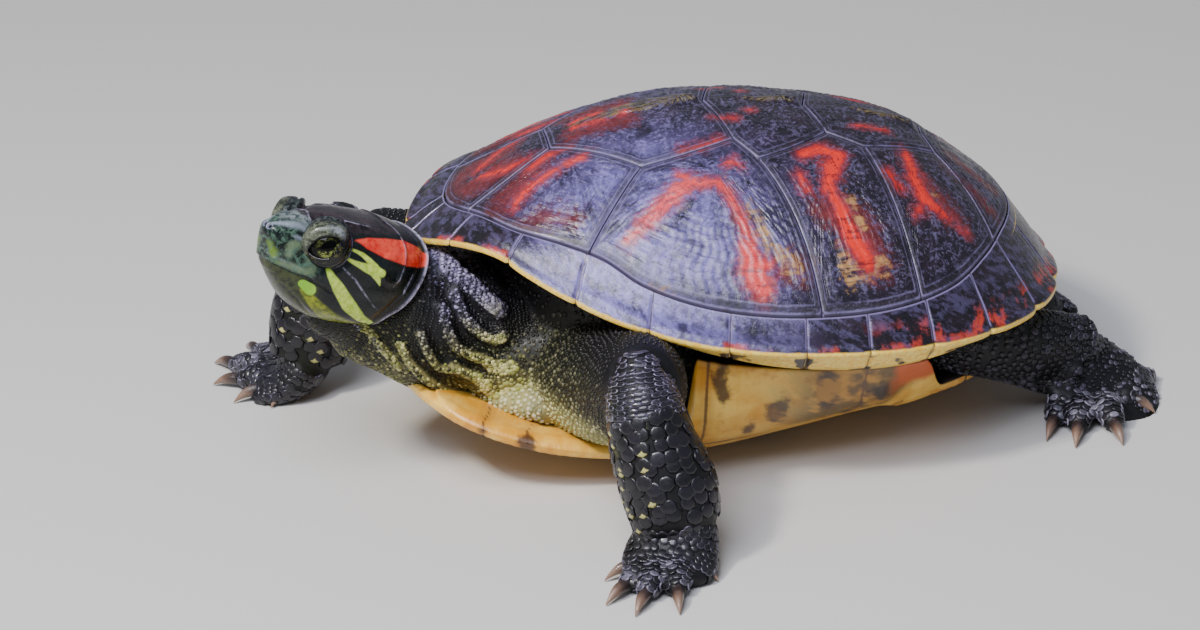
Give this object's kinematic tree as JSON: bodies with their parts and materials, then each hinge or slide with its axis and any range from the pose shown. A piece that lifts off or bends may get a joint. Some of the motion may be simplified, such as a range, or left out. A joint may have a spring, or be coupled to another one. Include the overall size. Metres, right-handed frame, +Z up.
{
  "type": "red-eared slider turtle figure",
  "caption": "Life-size still model of a pond turtle standing with its head raised, with a patterned domed shell, striped head, scaly legs and clawed feet.",
  "frame": {"origin": "on the floor, under the middle of the bounding box", "axes": "+Z up, the head towards -X and turned towards -Y, the animal's left side towards -Y"},
  "size_m": [0.2152, 0.16, 0.0752],
  "materials": {
    "scute": "satin horn",
    "rim": "satin horn",
    "plastron": "satin horn",
    "skin": "fine scaly skin",
    "eye": "wet gloss",
    "claw": "smooth horn"
  },
  "bodies": {
    "root": {"vertebral_1": "scute", "vertebral_2": "scute", "vertebral_3": "scute", "vertebral_4": "scute", "vertebral_5": "scute", "pleural_left_1": "scute", "pleural_right_1": "scute", "pleural_left_2": "scute", "pleural_right_2": "scute", "pleural_left_3": "scute", "pleural_right_3": "scute", "pleural_left_4": "scute", "pleural_right_4": "scute", "nuchal": "rim", "marginals_left": "rim", "marginals_right": "rim", "plastron": "plastron", "head": "skin", "lower_jaw": "skin", "eye_left": "eye", "eye_right": "eye", "trunk": "skin", "neck": "skin", "upper_arm_left": "skin", "hand_left_claw_1": "claw", "hand_left_claw_2": "claw", "hand_left_claw_3": "claw", "hand_left_claw_4": "claw", "hand_left_claw_5": "claw", "hand_left": "skin", "forearm_left": "skin", "upper_arm_right": "skin", "hand_right_claw_1": "claw", "hand_right_claw_2": "claw", "hand_right_claw_3": "claw", "hand_right_claw_4": "claw", "hand_right_claw_5": "claw", "hand_right": "skin", "forearm_right": "skin", "foot_left_claw_1": "claw", "foot_left_claw_2": "claw", "foot_left_claw_3": "claw", "foot_left_claw_4": "claw", "foot_left": "skin", "hind_leg_left": "skin", "foot_right_claw_1": "claw", "foot_right_claw_2": "claw", "foot_right_claw_3": "claw", "foot_right_claw_4": "claw", "foot_right": "skin", "hind_leg_right": "skin", "tail": "skin"}
  },
  "joints": []
}
